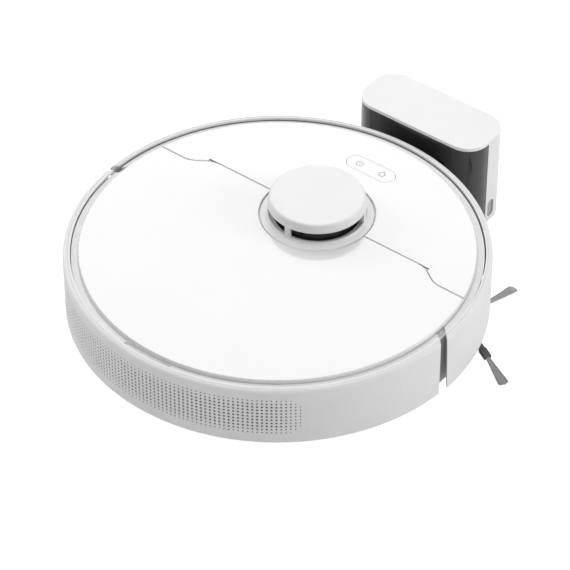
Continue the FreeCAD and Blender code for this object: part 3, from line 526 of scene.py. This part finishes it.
def tyre(hand):
    """A rubber tyre with cross grooves cut into its tread."""
    low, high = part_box(f"tyre_{hand}")
    radius, wide = (high.z - low.z) / 2, high.x - low.x
    inner = (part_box(f"wheel_hub_{hand}")[1].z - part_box(f"wheel_hub_{hand}")[0].z) / 2 + 0.02 * MM
    centre = Vector(((low.x + high.x) / 2, (low.y + high.y) / 2, (low.z + high.z) / 2))
    bm = bmesh.new()
    side = wide / 2
    lathe(bm, [(inner, -side, 0.4 * MM), (radius - 1.6 * MM, -side, 1.2 * MM),
               (radius, -side + 1.6 * MM, 0.5 * MM), (radius, -0.9 * MM, 0), (radius, 0.9 * MM, 0),
               (radius, side - 1.6 * MM, 0.5 * MM), (radius - 1.6 * MM, side, 1.2 * MM),
               (inner, side, 0.4 * MM)],
          (0, 0), TREAD_BLOCKS * 3)
    bm.normal_update()
    grooves = []
    for face in bm.faces:
        spot = face.calc_center_median()
        if spot.xy.length < radius - 0.3 * MM or abs(spot.z) > side - 1.9 * MM:
            continue
        turn = round(math.atan2(spot.y, spot.x) / (2 * math.pi) * TREAD_BLOCKS * 3 - 0.5)
        shift = 1 if spot.z > 0.5 * MM else 0
        if abs(spot.z) > 0.5 * MM and (turn + shift) % 3 == 0:
            grooves.append(face)
    cut = bmesh.ops.extrude_discrete_faces(bm, faces=grooves)["faces"]
    for face in cut:
        for vert in face.verts:
            vert.co.xy *= (vert.co.xy.length - TREAD_DEPTH) / vert.co.xy.length
    bmesh.ops.rotate(bm, cent=(0, 0, 0), matrix=Matrix.Rotation(math.pi / 2, 3, "Y"), verts=bm.verts)
    bmesh.ops.translate(bm, vec=centre, verts=bm.verts)
    finish_piece(bm, f"tread_{hand}", f"{hand}_wheel", looks["tread"], (f"tyre_{hand}",), 30)


# ------------------------------------------------------------------ button marks and dock outlet
def ring_arc(bm, centre, radius, wide, start, sweep, low, high, steps=24):
    """A flat band bent round part of a circle."""
    corners = [(radius - wide / 2, low), (radius + wide / 2, low), (radius + wide / 2, high),
               (radius - wide / 2, high)]
    turn = Matrix.Rotation(start, 3, "Z")
    verts = [bm.verts.new(Vector(centre) + turn @ Vector((x, 0, z))) for x, z in corners]
    face = bm.faces.new(verts)
    bmesh.ops.spin(bm, geom=[face, *face.edges, *verts], cent=centre, axis=Z, angle=sweep, steps=steps,
                   use_merge=False, dvec=(0, 0, 0), use_duplicate=False)


def bar(bm, start, stop, wide, low, high):
    """A flat straight stroke between two points."""
    start, stop = Vector(start), Vector(stop)
    along = stop - start
    turn = Matrix.Rotation(math.atan2(along.y, along.x), 4, "Z")
    middle = (start + stop) / 2
    verts = bmesh.ops.create_cube(bm, size=1)["verts"]
    bmesh.ops.scale(bm, vec=(along.length + wide, wide, high - low), verts=verts)
    bmesh.ops.transform(bm, matrix=Matrix.Translation((middle.x, middle.y, (low + high) / 2)) @ turn,
                        verts=verts)


def button_marks():
    """The power and home marks printed on the button."""
    low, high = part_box("button_plate")
    centre, base, top = (low + high) / 2, high.z - 0.1 * MM, high.z + 0.04 * MM
    stroke, size = 0.75 * MM, 3.0 * MM
    bm = bmesh.new()
    power, home = Vector((centre.x - 11.6 * MM, centre.y, 0)), Vector((centre.x + 11.6 * MM, centre.y, 0))
    ring_arc(bm, power, size, stroke, math.radians(90 + 28), math.radians(304), base, top)
    bar(bm, power + Y * 0.6 * MM, power + Y * 3.3 * MM, stroke, base, top)
    walls = [(-2.2, -2.6), (2.2, -2.6), (2.2, 0.4), (3.2, 0.4), (0, 3.3), (-3.2, 0.4), (-2.2, 0.4)]
    points = [home + Vector((x * MM, y * MM, 0)) for x, y in walls]
    for first, second in zip(points, points[1:] + points[:1]):
        if (first - second).length > 1.2 * MM:
            bar(bm, first, second, stroke, base, top)
    finish_piece(bm, "button_marks", "button", looks["mark"])


OUTLET = Vector((63.7, 213.3, 13.3)) * MM


def cable_outlet():
    """The oval grommet in the dock's side and the dark socket behind it."""
    for name, deep, inset, wide, tall, look in (("outlet_rim", 1.3, 0.25, 4.25, 8.75, "mark"),
                                                ("outlet_socket", 4.0, 1.0, 3.3, 7.7, "charcoal")):
        bm = bmesh.new()
        ring = bmesh.ops.create_circle(bm, cap_ends=True, segments=48, radius=1.0)["verts"]
        bmesh.ops.scale(bm, vec=(wide * MM, wide * MM, 1), verts=ring)
        for vert in ring:
            vert.co.y += math.copysign((tall - wide) * MM, vert.co.y) if abs(vert.co.y) > 1e-9 else 0
        outer = bmesh.ops.extrude_face_region(bm, geom=list(bm.faces))["geom"]
        lifted = [item for item in outer if isinstance(item, bmesh.types.BMVert)]
        bmesh.ops.translate(bm, vec=(0, 0, deep * MM), verts=lifted)
        bm.normal_update()
        cap = max(bm.faces, key=lambda item: item.calc_center_median().z)
        bmesh.ops.inset_individual(bm, faces=[cap], thickness=0.8 * MM, use_even_offset=True)
        bmesh.ops.translate(bm, vec=(0, 0, -0.7 * deep * MM), verts=list(cap.verts))
        turn = Matrix(((0, 0, 1), (1, 0, 0), (0, 1, 0))).to_4x4()
        place = Matrix.Translation(OUTLET - X * (deep + inset) * MM)
        bmesh.ops.transform(bm, matrix=place @ turn, verts=bm.verts)
        finish_piece(bm, name, "dock", looks[look])


def notch_floors():
    """The ledge seen through the notch between the bumper and the rear shell, on each side."""
    for side, hand in ((-1, "left"), (1, "right")):
        bm = bmesh.new()
        reach = sorted((side * 159.5, side * 167.4))
        block(bm, (reach[0] * MM, -14 * MM, 71.4 * MM), (reach[1] * MM, 11 * MM, 73.9 * MM), 0.3 * MM)
        finish_piece(bm, f"notch_floor_{hand}", "robot", looks["rim"])


def dock_window():
    """The thin upright strip near each end of the dock's glossy front."""
    low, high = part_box("dock_front")
    for side in (-1, 1):
        bm = bmesh.new()
        block(bm, (side * 43.2 * MM - 0.5 * MM, low.y - 0.15 * MM, low.z + 2 * MM),
              (side * 43.2 * MM + 0.5 * MM, low.y + 0.4 * MM, high.z - 1 * MM), 0.12 * MM)
        hand = "left" if side < 0 else "right"
        finish_piece(bm, f"dock_window_edge_{hand}", "dock", looks["black"])


exhaust_grille()
side_brush()
main_brush()
tyre("left")
tyre("right")
button_marks()
cable_outlet()
notch_floors()
dock_window()

# ------------------------------------------------------------------ camera, floor and light
camera_data = bpy.data.cameras.new("camera")
camera_data.lens = 189.47
camera_data.sensor_width = 36.0
camera_data.clip_end = 100.0
camera = bpy.data.objects.new("camera", camera_data)
bpy.context.scene.collection.objects.link(camera)
AIM = Vector((-0.0212, 0.03632, 0.0))
AZIMUTH, ELEVATION, DISTANCE = math.radians(38.323), math.radians(41.029), 2.5216
back = Vector((math.sin(AZIMUTH) * math.cos(ELEVATION), -math.cos(AZIMUTH) * math.cos(ELEVATION),
               math.sin(ELEVATION)))
camera.location = AIM + back * DISTANCE
camera.rotation_euler = back.to_track_quat("Z", "Y").to_euler()
bpy.context.scene.camera = camera
bpy.context.scene.view_settings.view_transform = "Standard"

floor_mesh = bmesh.new()
bmesh.ops.create_grid(floor_mesh, x_segments=1, y_segments=1, size=4.0)
bmesh.ops.translate(floor_mesh, vec=(0, 0, -0.0002), verts=floor_mesh.verts)
floor_data = bpy.data.meshes.new("studio_floor")
floor_mesh.to_mesh(floor_data)
floor_mesh.free()
floor = bpy.data.objects.new("studio_floor", floor_data)
bpy.context.scene.collection.objects.link(floor)
pale_floor = Look("pale_floor", (0.90, 0.90, 0.90), 0.9).mottle(2, 0.004)
shine, both = pale_floor.add("ShaderNodeEmission"), pale_floor.add("ShaderNodeAddShader")
watched = pale_floor.add("ShaderNodeLightPath")
lifted = pale_floor.add("ShaderNodeMath", operation="MULTIPLY")
lifted.inputs[1].default_value = 0.85
pale_floor.link(watched.outputs["Is Camera Ray"], lifted.inputs[0])
pale_floor.link(lifted.outputs[0], shine.inputs["Strength"])
pale_floor.link(pale_floor.shader.outputs[0], both.inputs[0])
pale_floor.link(shine.outputs[0], both.inputs[1])
pale_floor.link(both.outputs[0], pale_floor.tree.nodes["Material Output"].inputs["Surface"])
floor_data.materials.append(pale_floor.material)

world = bpy.data.worlds.new("studio")
bpy.context.scene.world = world
world.use_nodes = True
sky = world.node_tree
room = sky.nodes["Background"]
room.inputs["Color"].default_value = (1, 1, 1, 1)
room.inputs["Strength"].default_value = 0.43
backdrop = sky.nodes.new("ShaderNodeBackground")
backdrop.inputs["Strength"].default_value = 1.05
seen, choose = sky.nodes.new("ShaderNodeLightPath"), sky.nodes.new("ShaderNodeMixShader")
sky.links.new(seen.outputs["Is Camera Ray"], choose.inputs[0])
sky.links.new(room.outputs[0], choose.inputs[1])
sky.links.new(backdrop.outputs[0], choose.inputs[2])
sky.links.new(choose.outputs[0], sky.nodes["World Output"].inputs["Surface"])
backdrop.inputs["Color"].default_value = (1, 1, 1, 1)


def soft_light(name, place, size, glow, aim=(0, 0, 0.05)):
    """A square soft box of a given brightness, in the units of a white surface."""
    data = bpy.data.lights.new(name, "AREA")
    data.shape = "SQUARE"
    data.size = size
    data.energy = glow * math.pi * size * size
    lamp = bpy.data.objects.new(name, data)
    bpy.context.scene.collection.objects.link(lamp)
    lamp.location = place
    lamp.rotation_euler = (Vector(place) - Vector(aim)).to_track_quat("Z", "Y").to_euler()


soft_light("overhead_box", (-0.3, 0.1, 2.4), 2.0, 1.38)
soft_light("rear_box", (-1.15, 1.5, 1.7), 1.2, 2.4)
soft_light("right_box", (2.0, 1.15, 0.7), 0.9, 6.2)
soft_light("left_box", (-2.1, 0.0, 0.9), 0.9, 3.9)
